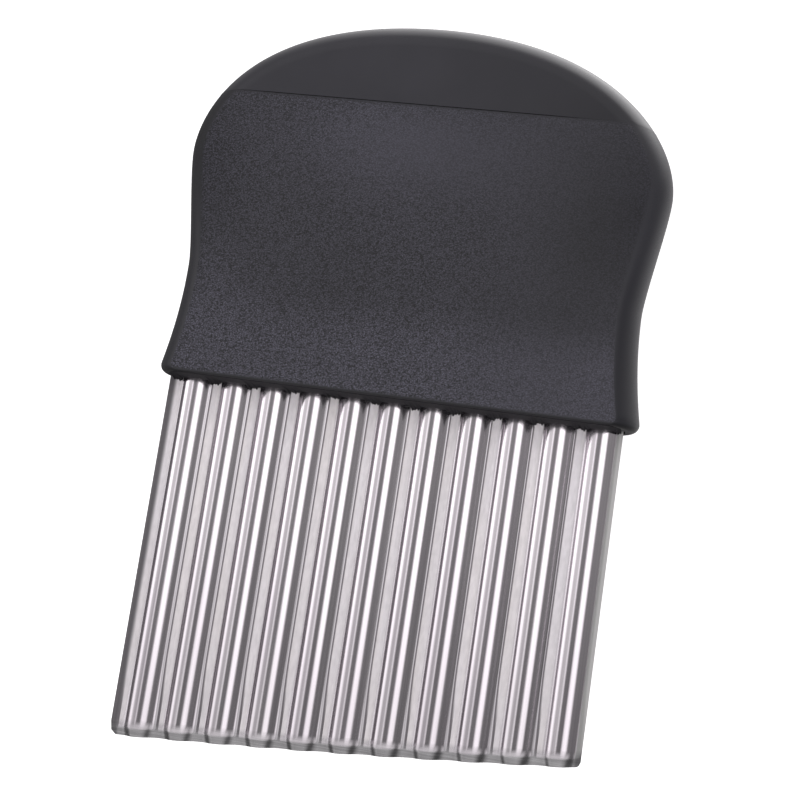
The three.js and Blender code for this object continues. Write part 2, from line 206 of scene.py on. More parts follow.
print("edge", round(-float(blade_end(BLADE_SHIFT)), 2), "mm from the lip in the middle of the blade")


# %% [markdown]
# The blade is ground from the front only, so the front face leans back over the last millimetres while
# the rear face runs straight to the edge. Above the lip the sheet steps in to a narrower tang. A flat
# sheet with a Solidify modifier would be as thick at the edge as elsewhere, so front and rear are two
# skins of their own, and a wall joins them wherever the kept cells of the grid end.

# %% Blade sheet
GRIND = 1.8
EDGE_THICKNESS = 0.15
SHOULDER = 2.5
TANG_TOP = 22.0
TANG_HALF = 37.15
ARC_COLUMNS = 16
END_COLUMNS = 9
GROUND_ROWS = 5
BLANK_ROWS = 49
TANG_ROWS = 9


def blade_skin(distance, grind_share, blank_share, tang_share):
    """One skin of the sheet. Columns follow the wave from the sheared left end to the last trough. Rows
    run up the sheet, and the shares say how far each has climbed the ground strip, the blank from there
    to the shoulder, and the tang."""
    start = left_end(distance)[:, None]
    s = start + (2 * WAVES - start) * np.linspace(0, 1, 2 * WAVES * ARC_COLUMNS + END_COLUMNS)
    x, z = wave(s, distance[:, None])
    y = blade_end(x) + grind_share[:, None] * GRIND
    y = y + blank_share[:, None] * (SHOULDER - y)
    y = y + tang_share[:, None] * (TANG_TOP - SHOULDER)
    return np.stack([x, y, z], axis=-1)


def sheet_quads(inside, rows, columns):
    """Quads of both skins over the kept cells, and of the wall along the border of those cells."""
    number = np.arange(rows * columns).reshape(rows, columns)
    back = number + rows * columns
    corners = [number[:-1, :-1], number[:-1, 1:], number[1:, 1:], number[1:, :-1]]
    skin = np.stack(corners, axis=-1)[inside]
    padded = np.pad(inside, 1)
    below, above = padded[:-1, 1:-1], padded[1:, 1:-1]
    level = np.stack([number[:, :-1], back[:, :-1], back[:, 1:], number[:, 1:]], axis=-1)
    left, right = padded[1:-1, :-1], padded[1:-1, 1:]
    upright = np.stack([number[:-1, :], number[1:, :], back[1:, :], back[:-1, :]], axis=-1)
    walls = [
        level[above & ~below],
        level[below & ~above][:, ::-1],
        upright[right & ~left],
        upright[left & ~right][:, ::-1],
    ]
    return np.concatenate([skin, skin[:, ::-1] + rows * columns, *walls])


def make_blade():
    """Front and rear skins on one grid. In the ground strip the front skin slopes back to the thin edge.
    Cells beside the tang are left out."""
    ground = np.linspace(0, 1, GROUND_ROWS)
    blank = np.linspace(0, 1, BLANK_ROWS)[1:]
    tang = np.linspace(0, 1, TANG_ROWS)[1:]
    under_tang = len(ground) + len(blank)
    shares = (
        np.concatenate([ground, np.ones(len(blank) + len(tang))]),
        np.concatenate([np.zeros(len(ground)), blank, np.ones(len(tang))]),
        np.concatenate([np.zeros(under_tang), tang]),
    )
    front = blade_skin(-SHEET / 2 + EDGE_THICKNESS + shares[0] * (SHEET - EDGE_THICKNESS), *shares)
    rear = blade_skin(np.full(len(front), -SHEET / 2), *shares)
    rows, columns = front.shape[:2]
    inside = np.ones((rows - 1, columns - 1), bool)
    cell_x = (front[-1, 1:, 0] + front[-1, :-1, 0]) / 2
    inside[under_tang - 1 :, :] = np.abs(cell_x) < TANG_HALF
    points = np.concatenate([front.reshape(-1, 3), rear.reshape(-1, 3)])
    return make_piece("blade_sheet", points, sheet_quads(inside, rows, columns))


blade = make_blade()
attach(blade, "root")
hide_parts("blade")


# %% [markdown]
# The finish of the steel differs from place to place: dull strips in the troughs, a ground strip along
# the edge, darker rims at both sides. These zones could be painted on a texture. Here each point of the
# mesh notes numbers about its own place instead, so the finish fits the waves however they are sized.

# %% Notes for the steel
GROUND_SOFT = 0.05
STRIP_FOOT = 0.4
STRIP_TAPER = 16.0
RIM_WIDTH = 1.5
LAST_WIDTH = 1.4
RIM_FADE = 0.6


def smooth_step(value, low, high):
    """0 below low, 1 above high, and an S-shaped rise between them."""
    share = np.clip((value - low) / (high - low), 0, 1)
    return share * share * (3 - 2 * share)


def read_points(piece):
    """Places in millimetres from the lip, and normals, of all points: three arrays each."""
    count = len(piece.data.vertices)
    place = np.empty(count * 3)
    piece.data.vertices.foreach_get("co", place)
    normal = np.empty(count * 3)
    piece.data.vertices.foreach_get("normal", normal)
    from_lip = (place.reshape(-1, 3) - np.array([0.0, lip_y, sheet_z])) / MM
    return from_lip.T, normal.reshape(-1, 3).T


def write_notes(piece, notes):
    """Each named array becomes a number per point that a material can read."""
    for label, value in notes.items():
        piece.data.attributes.new(label, "FLOAT", "POINT").data.foreach_set("value", value)
    print(", ".join(notes), "noted on", len(piece.data.vertices), "points")


def note_blade_zones(piece):
    """crest runs from 0 in a trough to 1 on a crest, as seen from the skin's own side; ground is 1 on the
    ground strip; above grows from 0 at that strip to 1 a little higher up; taper falls from 1 at that
    strip to 0 over a longer way; rim is 1 along the sheared left side and last on the half wave along
    the right side; leaning is the sideways part of the normal, so that two flanks can differ."""
    (x, y, z), (leaning, _, upward) = read_points(piece)
    facing = np.where(upward > 0, 1.0, -1.0)
    over_grind = y - blade_end(x) - GRIND
    notes = {
        "crest": np.clip(0.5 + (facing * z - SHEET / 2) / DEPTH, 0, 1),
        "ground": np.clip((GROUND_SOFT - over_grind) / (2 * GROUND_SOFT), 0, 1) * (facing > 0),
        "above": np.clip(over_grind / STRIP_FOOT, 0, 1),
        "taper": 1 - smooth_step(over_grind, 0, STRIP_TAPER),
        "rim": smooth_step(BLADE_LEFT + RIM_WIDTH - x, 0, RIM_FADE),
        "last": smooth_step(x - BLADE_RIGHT + LAST_WIDTH, 0, RIM_FADE),
        "leaning": leaning,
    }
    write_notes(piece, notes)


note_blade_zones(blade)


# %% [markdown]
# The handle outline is one flowing line: it flares at the lip, draws in at a waist for the fingers,
# swells at the shoulder and closes in a dome under the palm. It could be traced as many points, but
# three curves with few handles describe it and stay smooth. The same line serves body and cap.

# %% Outline of the handle
LIP_HALF = BLADE_HALF + 2.3
WAIST_HALF = LIP_HALF - 2.2
SHOULDER_HALF = LIP_HALF + 0.8
WAIST_Y = 22.0
SHOULDER_Y = 45.2
TOP_Y = 75.0
LIP_CORNER = 1.6
FLARE = np.radians(12)
FLARE_LEAD = 0.35
WAIST_LEAD = 0.27
SWELL_LEAD = 0.2
CROWN_SIDE_LEAD = 0.36
CROWN_TOP_LEAD = 0.76
SIDE_STEPS = 120
CROWN_STEPS = 600


def bezier(a, b, c, d, t):
    """Cubic curve from a to d with the handles b and c."""
    t = t[:, None]
    a, b, c, d = (np.array(p, float) for p in (a, b, c, d))
    return (1 - t) ** 3 * a + 3 * (1 - t) ** 2 * t * b + 3 * (1 - t) * t**2 * c + t**3 * d


def side_line():
    """Points up the right side from the end of the lip corner to the shoulder: flare, then swell."""
    t = np.linspace(0, 1, SIDE_STEPS)
    start_x = LIP_HALF - LIP_CORNER + LIP_CORNER * np.cos(FLARE)
    start = np.array([start_x, LIP_CORNER * (1 + np.sin(FLARE))])
    lead = start + FLARE_LEAD * WAIST_Y * np.array([-np.sin(FLARE), np.cos(FLARE)])
    flare = bezier(start, lead, (WAIST_HALF, (1 - WAIST_LEAD) * WAIST_Y), (WAIST_HALF, WAIST_Y), t)
    rise = SHOULDER_Y - WAIST_Y
    low = (WAIST_HALF, WAIST_Y + SWELL_LEAD * rise)
    high = (SHOULDER_HALF, SHOULDER_Y - SWELL_LEAD * rise)
    swell = bezier((WAIST_HALF, WAIST_Y), low, high, (SHOULDER_HALF, SHOULDER_Y), t)
    return np.concatenate([flare, swell[1:]])


def crown_line():
    """Points from the right shoulder over the dome to its top."""
    shoulder = (SHOULDER_HALF, SHOULDER_Y)
    side_lead = (SHOULDER_HALF, SHOULDER_Y + CROWN_SIDE_LEAD * (TOP_Y - SHOULDER_Y))
    top_lead = (CROWN_TOP_LEAD * SHOULDER_HALF, TOP_Y)
    return bezier(shoulder, side_lead, top_lead, (0, TOP_Y), np.linspace(0, 1, CROWN_STEPS))


print("handle", round(2 * SHOULDER_HALF, 2), "mm wide and", TOP_Y, "mm high")


# %% [markdown]
# Seen from the side the handle is not a slab: its walls arch from face to face. At the palm the arch
# runs into the face without an edge, at the lip it leaves a crease. A Bevel modifier would round both
# alike, so a power of the depth decides here how the wall meets the face at each height.

# %% Arched walls
HALF_THICK = 8.0
LOW_BAND = 4.3
HIGH_BAND = 6.0
CREASE_POWER = 0.8
ELLIPSE_POWER = 0.5
CROWN_LEAN = 1.2


def wall_inset(z, y):
    """How far the side wall has drawn in at depth z: nothing at the middle plane and the whole edge band
    at the face. One half as power is an ellipse, and more leaves a crease."""
    band = LOW_BAND + (HIGH_BAND - LOW_BAND) * smooth_step(y, WAIST_Y, TOP_Y)
    power = CREASE_POWER + (ELLIPSE_POWER - CREASE_POWER) * smooth_step(y, 0, SHOULDER_Y)
    flat = np.clip(1 - (z / HALF_THICK) ** 2, 0, 1)
    return band * (1 - flat**power)


def crown_lean(y):
    """How far the outline has moved left at a height: nothing at the shoulder, all of it at the top."""
    return -CROWN_LEAN * smooth_step(y, SHOULDER_Y, TOP_Y)


def drawn_line(z):
    """The right side of the outline at depth z, from the lip corner to the top of the dome. Up to the
    shoulder it draws in straight across, over the dome along the normal of the line."""
    side = side_line()
    crown = crown_line()
    slope = np.gradient(crown, axis=0)
    normal = np.stack([slope[:, 1], -slope[:, 0]], axis=1)
    normal /= np.linalg.norm(normal, axis=1)[:, None]
    line = np.concatenate([side[:-1], crown])
    pull = np.concatenate([np.tile([1.0, 0.0], (len(side) - 1, 1)), normal])
    return line - pull * wall_inset(z, line[:, 1])[:, None]


print("edge band", LOW_BAND, "mm at the waist and", HIGH_BAND, "mm at the top")


# %% [markdown]
# The body is a sleeve, and its section at one height is a flat front, an arched wall, a flat rear and
# the other wall. The hollow inside could be cut out with booleans. Sections with equally many points,
# outside and inside, can be joined instead, and then the walls have clean faces all over.

# %% Sections of the handle
LIP_FILLET = 0.9
SLOT_MARGIN = 0.3
RECESS_HALF = BLADE_HALF - 1.9
RECESS_DEPTH = (DEPTH + SHEET) / 2 + 2.0
SLOT_DEPTH = (DEPTH + SHEET) / 2 + SLOT_MARGIN
FACE_POINTS = 121
WALL_POINTS = 49


def section_ring(half_face, front_z, wall_x, wall_z):
    """One closed section: left to right along the front, down the right wall, back along the rear and
    up the left wall. Rows are heights."""
    face_x = half_face[:, None] * np.linspace(-1, 1, FACE_POINTS)
    face_z = np.repeat(front_z[:, None], FACE_POINTS, axis=1)
    x = np.concatenate([face_x, wall_x[:, 1:-1], face_x[:, ::-1], -wall_x[:, -2:0:-1]], axis=1)
    z = np.concatenate([face_z, wall_z[:, 1:-1], -face_z, wall_z[:, -2:0:-1]], axis=1)
    return x, z


def body_skin(y):
    """Outer sections at the heights y. Below the lip fillet the section gets thinner and narrower along
    quarter circles."""
    into_corner = np.clip(LIP_CORNER - y, 0, LIP_CORNER)
    corner = LIP_HALF - LIP_CORNER + np.sqrt(LIP_CORNER**2 - into_corner**2)
    into_fillet = np.clip(LIP_FILLET - y, 0, LIP_FILLET)
    front_z = HALF_THICK - LIP_FILLET + np.sqrt(LIP_FILLET**2 - into_fillet**2)
    depth = np.sin(np.linspace(np.pi / 2, -np.pi / 2, WALL_POINTS))
    in_corner = y < side_line()[0, 1]
    columns = []
    for z in HALF_THICK * depth:
        line = drawn_line(z)
        along_side = np.interp(y, line[:, 1], line[:, 0])
        columns.append(np.where(in_corner, corner - wall_inset(z, y), along_side))
    wall_x = np.stack(columns, axis=1)
    x, z = section_ring(wall_x[:, 0], front_z, wall_x, front_z[:, None] * depth)
    return x + crown_lean(y)[:, None], z


def box_rings(half, depth, count):
    """Plain rectangular sections with as many points as the outer ones."""
    wall_z = np.repeat(np.linspace(depth, -depth, WALL_POINTS)[None, :], count, axis=0)
    wall_x = np.full_like(wall_z, half)
    return section_ring(np.full(count, half), np.full(count, depth), wall_x, wall_z)


def slot_rings(count):
    """Sections of the recess in the lip: deep where the jaws fill it, and only a slot for the blade
    beyond them on both sides."""
    left = max(BLADE_LEFT - SLOT_MARGIN, LIP_CORNER - LIP_HALF)
    right = min(BLADE_RIGHT + SLOT_MARGIN, LIP_HALF - LIP_CORNER)
    deep_x = RECESS_HALF * np.linspace(-1, 1, FACE_POINTS - 4)
    face_x = np.concatenate([[left, -RECESS_HALF], deep_x, [RECESS_HALF, right]])
    face_z = np.full(FACE_POINTS, RECESS_DEPTH)
    face_z[[0, 1, -2, -1]] = SLOT_DEPTH
    wall_z = np.linspace(SLOT_DEPTH, -SLOT_DEPTH, WALL_POINTS)[1:-1]
    x = np.concatenate([face_x, np.full(len(wall_z), right), face_x[::-1], np.full(len(wall_z), left)])
    z = np.concatenate([face_z, wall_z, -face_z, wall_z[::-1]])
    return np.tile(x, (count, 1)), np.tile(z, (count, 1))


print("sections of", 2 * (FACE_POINTS + WALL_POINTS - 2), "points")


# %% [markdown]
# Carrying the sections down the outside, round the lip, up through the stepped pocket and the upper
# hollow, and back to the seam gives one closed skin with real walls. On the real handle the seam is a
# hair line that is pressed home at both ends, so the upper border dips by half of a gap that closes
# there. That is simpler than a groove and casts the same thin shadow.

# %% Handle body
SEAM_Y = 57.2
SEAM_GAP = 0.14
SEAM_CLOSING = 0.9
SEAM_MIDDLE = -4.0
SEAM_OPEN_REACH = 26.0
SEAM_HOME_REACH = 38.0
POCKET_HALF = WAIST_HALF - 4.4
POCKET_DEPTH = HALF_THICK - 2.7
POCKET_TOP = 34.3
RECESS_TOP = 3.1
HOLLOW_HALF = POCKET_HALF - 3.3
SIDE_ROWS = 90
LIP_ROWS = 13
SMOOTH_DEGREES = 40


def seam_gap(x):
    """Width of the seam along the handle: open in the middle, nearly closed towards both ends."""
    from_middle = np.abs(x - SEAM_MIDDLE)
    return SEAM_GAP * (1 - SEAM_CLOSING * smooth_step(from_middle, SEAM_OPEN_REACH, SEAM_HOME_REACH))


def make_body():
    """Sections carried along a closed path: outside from the seam to the lip, then up the inside."""
    seam = SEAM_Y - SEAM_GAP / 2
    lip_rows = LIP_CORNER * (1 - np.cos(np.linspace(0, np.pi / 2, LIP_ROWS)))
    outer_y = np.concatenate([np.linspace(seam, LIP_CORNER, SIDE_ROWS)[:-1], lip_rows[::-1]])
    steps = [
        (body_skin(outer_y), outer_y),
        (slot_rings(2), (0.0, RECESS_TOP)),
        (box_rings(POCKET_HALF, RECESS_DEPTH, 1), (RECESS_TOP,)),
        (box_rings(POCKET_HALF, POCKET_DEPTH, 2), (RECESS_TOP, POCKET_TOP)),
        (box_rings(HOLLOW_HALF, POCKET_DEPTH, 2), (POCKET_TOP, seam)),
    ]
    rings = []
    for (x, z), heights in steps:
        y = np.repeat(np.array(heights)[:, None], x.shape[1], axis=1)
        rings.append(np.stack([x, y, z], axis=-1))
    points = np.concatenate(rings)
    points[0, :, 1] = SEAM_Y - seam_gap(points[0, :, 0]) / 2
    quads = grid_quads(points.shape[0], points.shape[1], close_rows=True, close_columns=True)
    return make_piece("handle_shell", points, quads[:, ::-1], sharp_degrees=SMOOTH_DEGREES)


body = make_body()
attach(body, "root")
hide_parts("handle_body")


# %% [markdown]
# The grain of the handle covers the flat faces and fades to smooth walls. Some places of the faces and
# walls get painted light or painted shade, a paler or darker tone, and the grain stands out more on
# the left than under the seam. A painted mask could hold that. Soft spots given by a middle and a
# reach do the same in a few numbers and never show a pixel.

# %% Zones of the handle
GRAIN_FADE = (3.6, 4.8)
FLAT_NORMAL = (0.90, 0.99)
LIP_NORMAL = (0.35, 0.95)
WORN_NORMAL = (0.5, 0.85)
# Painted light and painted shade: spots of paler and darker tone on the grained faces and smooth walls.
LIGHT_AND_SHADE_ALL_OVER = 0.25
PAINTED_LIGHT_AT_LIP = 0.5
LIP_BAND = (8, 20)
LIGHT_AND_SHADE_SPOTS = ((0.55, (-6, 50), (22, 10)), (-0.28, (38, 36), (13, 18)), (0.25, (-40, 18), (12, 7)))
WALL_LIGHT_AND_SHADE_SPOTS = ((-0.5, (-46, 47), (9, 18)), (0.4, (46, 36), (9, 16)))
WORN_SPOTS = ((1.0, (46, 41), (11, 14)),)
FAINT_SPOTS = ((0.7, (2, 49), (24, 11)),)
BITE_ALL_OVER = 0.60
BITE_LEFT = 0.60
BITE_FADE = (2, 30)


def bells(x, y, spots):
    """Soft spots added up. Each has a size, a middle and a reach, and falls as a bell on both axes."""
    total_size = np.zeros(len(x))
    for size, middle, reach in spots:
        away = ((x - middle[0]) / reach[0]) ** 2 + ((y - middle[1]) / reach[1]) ** 2
        total_size += size * np.exp(-away)
    return total_size


def note_handle_zones(piece):
    """grain is 1 on the flat front and rear, fades towards their sides and is 0 on the walls; lip is 1 on
    the rounded edge of the lip; the painted light and shade note is higher where the grained faces get
    painted light and lower where they get painted shade; the wall note scales the tone of the smooth
    walls with painted shade on the upper left and painted light on the right; worn is 1 where the
    shoulders have lost their gloss; bite is how strongly the grain stands out."""
    (x, y, _), (_, up, out) = read_points(piece)
    line = drawn_line(0.0)
    inset = np.interp(y, line[:, 1], line[:, 0]) - np.abs(x - crown_lean(y))
    out = np.abs(out)
    at_lip = PAINTED_LIGHT_AT_LIP * (1 - smooth_step(y, *LIP_BAND))
    from_left = BITE_ALL_OVER + BITE_LEFT * (1 - smooth_step(x, *BITE_FADE))
    notes = {
        "grain": smooth_step(out, *FLAT_NORMAL) * smooth_step(inset, *GRAIN_FADE),
        "lip": smooth_step(-up, *LIP_NORMAL) * (y < LIP_CORNER),
        "painted_light_and_shade": np.clip(LIGHT_AND_SHADE_ALL_OVER + at_lip + bells(x, y, LIGHT_AND_SHADE_SPOTS), 0, 1),
        "wall_light_and_shade": 1 + bells(x, y, WALL_LIGHT_AND_SHADE_SPOTS),
        "worn": bells(np.abs(x), y, WORN_SPOTS) * smooth_step(out, *WORN_NORMAL),
        "bite": from_left * (1 - bells(x, y, FAINT_SPOTS)),
    }
    write_notes(piece, notes)


note_handle_zones(body)


# %% [markdown]
# The cap closes the sleeve. Its rim follows the dome, so sections at one height would crowd at the top.
# Instead each column starts at the seam on the front, runs up the flat face, over the rounded rim and
# down the rear face to the seam. Every depth of the rim is the dome line moved inwards along its normal.
# Below the seam a hollow skirt reaches into the body.

# %% Palm cap
SKIRT_FIT = 0.3
SKIRT_HALF = HOLLOW_HALF - SKIRT_FIT
SKIRT_DEPTH = POCKET_DEPTH - SKIRT_FIT
SKIRT_END = SEAM_Y - 6.0
SKIRT_WALL = 1.8
CAP_CEILING = SEAM_Y + 6.0
DOME_COLUMNS = 90
FACE_ROWS = 24
RIM_ROWS = 61
ON_SEAM = 1e-6


def rim_curves(depths, seam):
    """For each depth, the right half of the dome line drawn in along its normal, from the seam plane to
    the top, with evenly spread points."""
    curves = []
    for z in depths:
        line = drawn_line(z)
        count = np.arange(len(line))
        spread = np.linspace(np.interp(seam, line[:, 1], count), count[-1], DOME_COLUMNS)
        x = np.interp(spread, count, line[:, 0])
        y = np.interp(spread, count, line[:, 1])
        curves.append(np.stack([x, np.maximum(y, seam), np.full(DOME_COLUMNS, z)], axis=-1))
    return np.array(curves)


def cap_skin(seam):
    """Rows from the front of the seam up the face, over the rim and down the rear. The columns run from
    the right end of the seam over the dome to its left end."""
    depths = HALF_THICK * np.sin(np.linspace(np.pi / 2, -np.pi / 2, RIM_ROWS))
    right = rim_curves(depths, seam)
    left = right[:, -2::-1] * np.array([-1, 1, 1])
    rim = np.concatenate([right, left], axis=1)
    rim[:, :, 0] += crown_lean(rim[:, :, 1])
    share = np.linspace(0, 1, FACE_ROWS)[:-1, None]
    front = np.repeat(rim[:1], FACE_ROWS - 1, axis=0)
    front[:, :, 1] = seam + share * (rim[0, :, 1] - seam)
    front[:, :, 0] += crown_lean(front[:, :, 1]) - crown_lean(rim[0, :, 1])
    rear = front[::-1] * np.array([1, 1, -1])
    return np.concatenate([front, rim, rear])


def plug_ring(loop, half, depth, height):
    """The seam loop pulled onto a rectangle: every point goes to the nearest place on it."""
    x = np.clip(loop[:, 0], -half, half)
    z = np.clip(loop[:, 2], -depth, depth)
    return np.stack([x, np.full(len(loop), height), z], axis=-1)


def make_cap():
    """The skin over the dome, then rings inwards from its seam loop down and up the hollow skirt, closed
    by a ceiling. Points on the seam plane move by half of the seam's own gap."""
    seam = SEAM_Y + SEAM_GAP / 2
    skin = cap_skin(seam)
    rows, columns = skin.shape[:2]
    loop = np.concatenate([skin[0, :-1], skin[:-1, -1], skin[-1, :0:-1], skin[:0:-1, 0]])
    inner = (SKIRT_HALF - SKIRT_WALL, SKIRT_DEPTH - SKIRT_WALL)
    rings = [
        plug_ring(loop, SKIRT_HALF, SKIRT_DEPTH, seam),
        plug_ring(loop, SKIRT_HALF, SKIRT_DEPTH, SKIRT_END),
        plug_ring(loop, *inner, SKIRT_END),
        plug_ring(loop, *inner, CAP_CEILING),
    ]
    count = len(loop)
    points = np.concatenate([skin.reshape(-1, 3), loop, *rings])
    at_seam = np.abs(points[:, 1] - seam) < ON_SEAM
    points[at_seam, 1] = SEAM_Y + seam_gap(points[at_seam, 0]) / 2
    plug = grid_quads(len(rings) + 1, count, close_columns=True) + rows * columns
    ceiling = np.arange(count) + rows * columns + len(rings) * count
    quads = np.concatenate([grid_quads(rows, columns)[:, ::-1], plug])
    return make_piece("cap_shell", points, quads, extra_faces=[ceiling], sharp_degrees=SMOOTH_DEGREES)


cap = make_cap()
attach(cap, "root")
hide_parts("palm_cap")


# %% [markdown]
# Where the handle was moulded round the blade, a little plastic was squeezed out under the lip. It hangs
# in the front troughs as a ragged black edge, about a millimetre deep, and stops short of the crests.
# Sculpting could make it, but as one closed skin, an arched section carried along the wave and as deep
# as a ragged line allows, it sits on the sheet exactly.

# %% Flash under the lip
FLASH_DEPTH = 1.0
FLASH_SKIN = 0.04
FLASH_FRONT = HALF_THICK - 0.7 * LIP_FILLET
FLASH_MARGIN = 0.3
FLASH_HOLD = 0.4
FLASH_SUNK = 0.1
FLASH_ARCS = (-0.2, 2 * WAVES - 0.1)
FLASH_RISE = (-0.1, DEPTH / 2)
FLASH_COLUMNS = 1400
FLASH_POINTS = 9
FLASH_MERGE = 0.00001
REACH_STEPS = 200
RAGGED_WAVES = ((3.7, 1.0, 0.0), (1.31, 0.8, 1.0), (0.57, 0.6, 2.0))
RAGGED_SWING = 0.22
RAGGED_LEAST = 0.05


def ragged(x):
    """Uneven height between 0 and 1 along the lip: three sine waves, each with a length, a size and a
    start, whose lengths don't fit each other."""
    sway = sum(size * np.sin(2 * np.pi * x / length + start) for length, size, start in RAGGED_WAVES)
    return np.clip(0.5 + RAGGED_SWING * sway, RAGGED_LEAST, 1)


def flash_reach(x):
    """How far to the front the flash comes: nearly to the fillet, and at both ends of the lip less, so
    that it stays a margin inside the flat underside, which draws in towards the face."""
    z = np.linspace(FLASH_FRONT, 0, REACH_STEPS)
    half = LIP_HALF - LIP_CORNER - FLASH_MARGIN - wall_inset(z, 0.0)
    return np.interp(np.abs(x), half, z)


def make_flash():
    """A section between the sheet and the lip, carried along the front of the wave. Its underside falls
    from a thin skin at the front to the sheet with the square of the way, and its top is flat, just
    inside the lip. The depth at the sheet follows the trough: all of it where the sheet lies lowest and
    nothing from half height up."""
    x, z = wave(np.linspace(*FLASH_ARCS, FLASH_COLUMNS), SHEET / 2)
    depth = FLASH_DEPTH * smooth_step(-z + SHEET / 2, *FLASH_RISE) * ragged(x)
    rows = FLASH_POINTS + 2
    way = np.append(np.linspace(0, 1, FLASH_POINTS), [1, 0])[:, None]
    on_top = np.arange(rows)[:, None] >= FLASH_POINTS
    y = np.where(on_top, FLASH_HOLD, -FLASH_SKIN - (1 - way) ** 2 * depth)
    out = z - FLASH_SUNK + (flash_reach(x) - z + FLASH_SUNK) * way
    points = np.stack([np.broadcast_to(x, y.shape), y, out], axis=-1)
    quads = grid_quads(rows, FLASH_COLUMNS, close_rows=True)
    first = np.arange(rows) * FLASH_COLUMNS
    ends = [first, first[::-1] + FLASH_COLUMNS - 1]
    return make_piece("lip_flash", points, quads, ends, sharp_degrees=60, merge=FLASH_MERGE)


flash = make_flash()
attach(flash, "root")


# %% [markdown]
# Every finish is a tree of nodes: patterns read from the object's own coordinates in metres, blended
# into the sockets of one shader. In the editor they are drawn and linked by hand. The helpers here make
# one node each, so that a finish below reads like a sum.

# %% Node helpers
def node_tree(owner):
    """An empty node tree to build on."""
    owner.use_nodes = True
    owner.node_tree.nodes.clear()
    return owner.node_tree


def new_finish(name):
    """A material with one shader on its output, and the object's coordinates to read patterns from."""
    material = bpy.data.materials.new(name)
    tree = node_tree(material)
    shader = tree.nodes.new("ShaderNodeBsdfPrincipled")
    output = tree.nodes.new("ShaderNodeOutputMaterial")
    tree.links.new(shader.outputs["BSDF"], output.inputs["Surface"])
    place = tree.nodes.new("ShaderNodeTexCoord").outputs["Object"]
    return material, tree, shader, place


def combine(tree, operation, first, second):
    """Two numbers joined by one operation. Either may be a plain number."""
    node = tree.nodes.new("ShaderNodeMath")
    node.operation = operation
    for socket, value in zip(node.inputs, (first, second)):
        if isinstance(value, (int, float)):
            socket.default_value = value
        else:
            tree.links.new(value, socket)
    return node.outputs["Value"]


def total(tree, first, *others):
    """All numbers added."""
    for other in others:
        first = combine(tree, "ADD", first, other)
    return first


def product(tree, first, *others):
    """All numbers multiplied."""
    for other in others:
        first = combine(tree, "MULTIPLY", first, other)
    return first


def axes(tree, vector):
    """The X, Y and Z parts of a vector."""
    node = tree.nodes.new("ShaderNodeSeparateXYZ")
    tree.links.new(vector, node.inputs["Vector"])
    return [node.outputs[axis] for axis in "XYZ"]


def attribute(tree, label):
    """A number that a mesh carries at its points."""
    node = tree.nodes.new("ShaderNodeAttribute")
    node.attribute_name = label
    return node.outputs["Fac"]


def dress(piece, material):
    """Give a piece one material."""
    piece.data.materials.clear()
    piece.data.materials.append(material)
    print(piece.name, "dressed in", material.name)


print("node helpers ready")


# %% [markdown]
# No real surface has one even tone: metal has streaks, plastic has grain and clouds. Photographs of such
# surfaces could be wrapped round the piece. Noise worked out by a formula needs no picture and has no
# seams, so the next helpers make noise and carry it over to tones, gloss and small relief.

# %% Pattern helpers
NOISE_SPAN = (0.3, 0.7)
NOISE_CORE = (0.35, 0.65)


def finer(tree, place, per_metre):
    """Coordinates that count so many units per metre along X, Y and Z."""
    mapping = tree.nodes.new("ShaderNodeMapping")
    mapping.inputs["Scale"].default_value = per_metre
    tree.links.new(place, mapping.inputs["Vector"])
    return mapping.outputs["Vector"]


def noise(tree, place, per_metre, detail):
    """Noise with its own fineness along X, Y and Z: stretched where the fineness is low."""
    pattern = tree.nodes.new("ShaderNodeTexNoise")
    pattern.inputs["Scale"].default_value = 1.0
    pattern.inputs["Detail"].default_value = detail
    tree.links.new(finer(tree, place, per_metre), pattern.inputs["Vector"])
    return pattern.outputs["Fac"]


def ranged(tree, value, low, high, to_low=0.0, to_high=1.0):
    """The stretch of value between low and high, carried over to another stretch and held at its ends."""
    node = tree.nodes.new("ShaderNodeMapRange")
    node.inputs["From Min"].default_value = low
    node.inputs["From Max"].default_value = high
    node.inputs["To Min"].default_value = to_low
    node.inputs["To Max"].default_value = to_high
    tree.links.new(value, node.inputs["Value"])
    return node.outputs["Result"]


def varied(tree, pattern, least=0.0, most=1.0, span=NOISE_SPAN):
    """Noise carried over from the span that it mostly fills to the stretch from least to most."""
    return ranged(tree, pattern, *span, least, most)


def soft_window(tree, value, low, high, edge):
    """1 between low and high, 0 outside, with soft edges."""
    rising = ranged(tree, value, low - edge, low + edge)
    falling = ranged(tree, value, high - edge, high + edge, 1.0, 0.0)
    return product(tree, rising, falling)


def colour_blend(tree, share, first, second):
    """A colour between first and second. Each may be a plain colour or a link."""
    node = tree.nodes.new("ShaderNodeMix")
    node.data_type = "RGBA"
    tree.links.new(share, node.inputs["Factor"])
    for label, value in (("A", first), ("B", second)):
        socket = [s for s in node.inputs if s.name == label and s.type == "RGBA"][0]
        if isinstance(value, tuple):
            socket.default_value = (*value, 1.0)
        else:
            tree.links.new(value, socket)
    return [s for s in node.outputs if s.type == "RGBA"][0]


def scaled(tree, colour, factor):
    """A colour made paler or darker by a factor."""
    node = tree.nodes.new("ShaderNodeVectorMath")
    node.operation = "SCALE"
    tree.links.new(colour, node.inputs["Vector"])
    tree.links.new(factor, node.inputs["Scale"])
    return node.outputs["Vector"]


def add_bump(tree, shader, height, depth):
    """Small relief: height from 0 to 1 stands for depth millimetres."""
    bump = tree.nodes.new("ShaderNodeBump")
    bump.inputs["Distance"].default_value = depth * MM
    tree.links.new(height, bump.inputs["Height"])
    tree.links.new(bump.outputs["Normal"], shader.inputs["Normal"])


print("pattern helpers ready")
